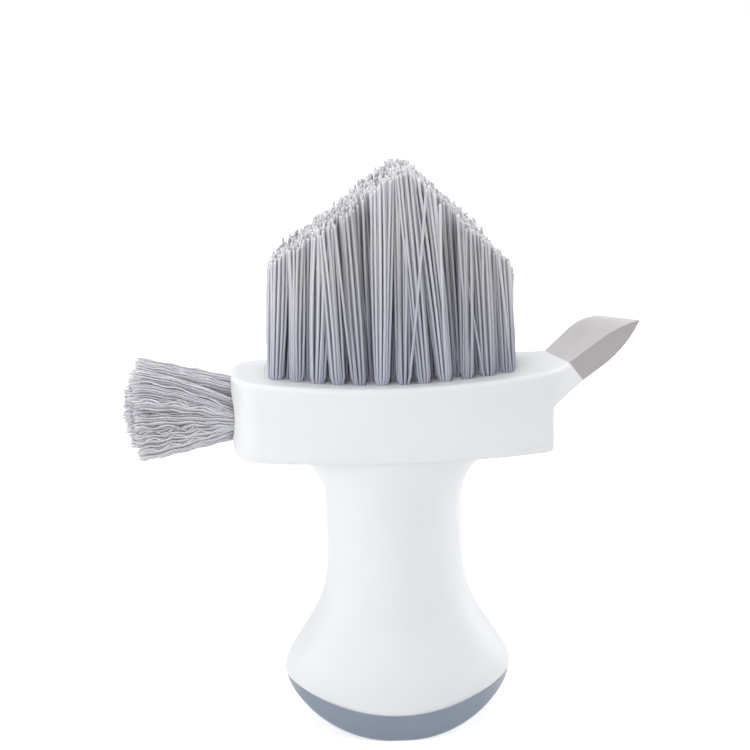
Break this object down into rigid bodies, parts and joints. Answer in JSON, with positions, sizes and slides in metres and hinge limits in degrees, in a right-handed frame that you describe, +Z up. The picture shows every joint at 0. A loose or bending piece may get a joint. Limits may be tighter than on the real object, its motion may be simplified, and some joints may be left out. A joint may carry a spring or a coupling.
{
  "type": "grout brush",
  "caption": "Hand grout brush with a V-trimmed block of stiff bristles on top, a crimped side tuft, a slanted scraper at the other end and a soft palm pad under a flared handle.",
  "frame": {"origin": "centre of the flat on the palm pad's sole, on the handle's axis", "axes": "+Z up along the handle towards the bristle tips, -X towards the side tuft, +X towards the scraper, -Y towards the front"},
  "size_m": [0.1151, 0.0332, 0.1312],
  "materials": {
    "white_body": "satin moulded white plastic",
    "carrier_white": "plain moulded plastic, hidden",
    "scraper_grey": "satin warm grey plastic",
    "pad_grey": "soft matte blue-grey rubber",
    "bristle": "stiff grey nylon filament",
    "side_bristle": "crimped fine grey filament",
    "anchor_wire": "flat cut wire, hidden",
    "set_resin": "clear set resin, hidden"
  },
  "bodies": {
    "root": {"handle_body": "white_body", "tuft_plate": "white_body", "tuft_anchors": "anchor_wire", "scraper_blade": "scraper_grey", "side_tuft": "side_bristle", "side_tuft_plug": "set_resin", "pad_carrier": "carrier_white", "palm_pad": "pad_grey", "bristle_row_01": "bristle", "bristle_row_02": "bristle", "bristle_row_03": "bristle", "bristle_row_04": "bristle", "bristle_row_05": "bristle", "bristle_row_06": "bristle", "bristle_row_07": "bristle", "bristle_row_08": "bristle", "bristle_row_09": "bristle", "bristle_row_10": "bristle", "bristle_row_11": "bristle", "bristle_row_12": "bristle", "bristle_row_13": "bristle", "bristle_row_14": "bristle", "bristle_row_15": "bristle", "bristle_row_16": "bristle", "bristle_row_17": "bristle", "bristle_row_18": "bristle", "bristle_row_19": "bristle", "bristle_row_20": "bristle", "bristle_row_21": "bristle", "bristle_row_22": "bristle", "bristle_row_23": "bristle"}
  },
  "joints": []
}
